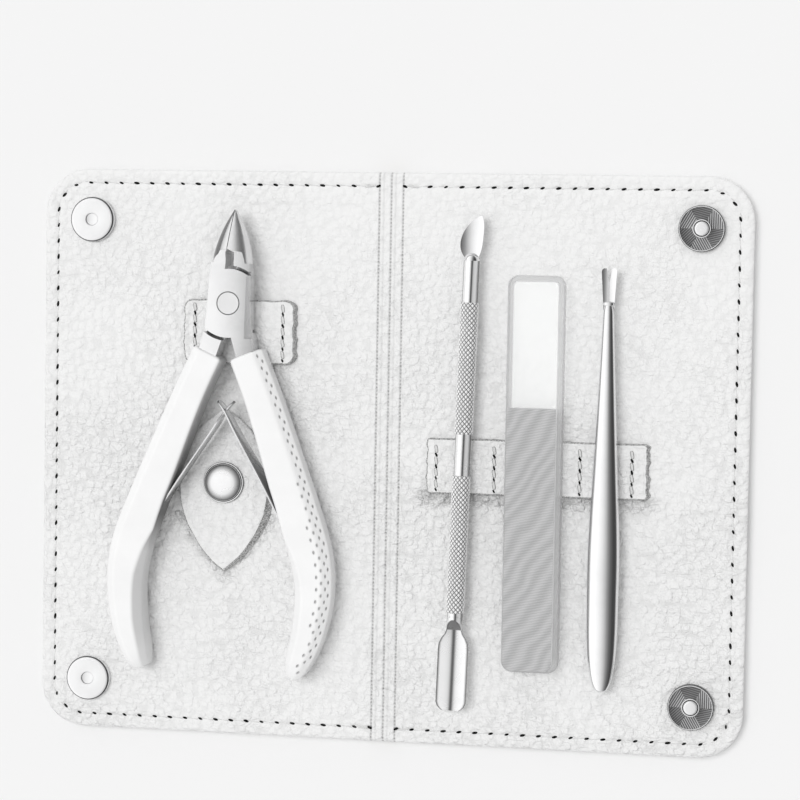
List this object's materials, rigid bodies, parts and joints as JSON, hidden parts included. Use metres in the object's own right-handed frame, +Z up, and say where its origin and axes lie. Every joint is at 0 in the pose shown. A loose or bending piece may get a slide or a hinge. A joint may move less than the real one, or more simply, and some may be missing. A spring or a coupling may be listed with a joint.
{
  "type": "nail care set",
  "caption": "Open bifold leather case with corner snaps, carrying a spring nipper on one cover and a knurled cuticle pusher, a glass file and a forked cuticle trimmer on the other.",
  "frame": {"origin": "under the middle of the spine, on the surface that the open case lies on", "axes": "+X across the covers from the nipper's to the file's, +Y towards the top edge, +Z up"},
  "size_m": [0.161, 0.128, 0.0109],
  "materials": {
    "case_leather": "white pebbled leather",
    "lining_leather": "white fine-grained leather",
    "strap_leather": "white leather with raw cut edges",
    "cover_board": "grey fibreboard",
    "seam_thread": "white waxed thread",
    "snap_metal": "polished nickel plate",
    "magnet_metal": "dark turned steel",
    "magnet_pin": "bright polished pin",
    "nipper_steel": "polished steel",
    "grip_vinyl": "white dipped vinyl",
    "spring_steel": "bright spring strip",
    "pusher_steel": "knurled satin steel",
    "file_glass": "clear glass with an etched face",
    "fork_steel": "mirror-polished steel"
  },
  "bodies": {
    "left_cover": {"left_outer_skin": "case_leather", "left_board": "cover_board", "left_lining": "lining_leather", "left_edge_thread": "seam_thread", "upper_snap_socket": "snap_metal", "lower_snap_socket": "snap_metal", "left_snap_washers": "snap_metal", "nipper_strap": "strap_leather", "nipper_strap_thread": "seam_thread", "tab_stud": "snap_metal"},
    "spine": {"spine_outer_skin": "case_leather", "spine_board": "cover_board", "spine_lining": "lining_leather"},
    "right_cover": {"right_outer_skin": "case_leather", "right_board": "cover_board", "right_lining": "lining_leather", "right_edge_thread": "seam_thread", "upper_snap_magnet": "magnet_metal", "lower_snap_magnet": "magnet_metal", "upper_snap_pin": "magnet_pin", "lower_snap_pin": "magnet_pin", "right_snap_washers": "snap_metal", "tool_strap": "strap_leather", "tool_strap_thread": "seam_thread"},
    "snap_tab": {"snap_tab": "strap_leather", "snap_cap": "snap_metal"},
    "nipper_rear": {"rear_lever": "nipper_steel", "rear_grip": "grip_vinyl", "rear_spring": "spring_steel", "rear_spring_rivet": "spring_steel", "pivot_rivet": "nipper_steel"},
    "nipper_front": {"front_lever": "nipper_steel", "front_grip": "grip_vinyl", "front_spring": "spring_steel", "front_spring_rivet": "spring_steel"},
    "pusher": {"pusher_handle": "pusher_steel", "pusher_spoon": "pusher_steel", "pusher_scraper": "pusher_steel"},
    "file": {"glass_file": "file_glass"},
    "fork": {"cuticle_fork": "fork_steel"}
  },
  "joints": [
    {"name": "spine_fold", "type": "hinge", "parent": "left_cover", "child": "spine", "pos_m": [-0.00285, 0, 0.003], "axis": [0, 1, 0], "range_deg": [-70, 0]},
    {"name": "right_cover_fold", "type": "hinge", "parent": "spine", "child": "right_cover", "pos_m": [0.00285, 0, 0.003], "axis": [0, 1, 0], "range_deg": [-70, 0]},
    {"name": "snap_tab_turn", "type": "hinge", "parent": "left_cover", "child": "snap_tab", "pos_m": [-0.0374, -0.0064, 0.0043], "axis": [0, 0, 1], "continuous": true},
    {"name": "nipper_lift", "type": "slide", "parent": "left_cover", "child": "nipper_rear", "axis": [0, 0, 1], "range_m": [0, 0.03]},
    {"name": "nipper_pivot", "type": "hinge", "parent": "nipper_rear", "child": "nipper_front", "pos_m": [-0.0354, 0.0343, 0.0075], "axis": [0, 0, 1], "range_deg": [-0.2, 10], "stiffness_Nm_per_rad": 0.5, "deforming": ["front_spring", "rear_spring"]},
    {"name": "pusher_lift", "type": "slide", "parent": "right_cover", "child": "pusher", "axis": [0, 0, 1], "range_m": [0, 0.03]},
    {"name": "file_lift", "type": "slide", "parent": "right_cover", "child": "file", "axis": [0, 0, 1], "range_m": [0, 0.03]},
    {"name": "fork_lift", "type": "slide", "parent": "right_cover", "child": "fork", "axis": [0, 0, 1], "range_m": [0, 0.03]}
  ],
  "couplings": [
    {"joint": "right_cover_fold", "follows": "spine_fold", "ratio": 1}
  ]
}
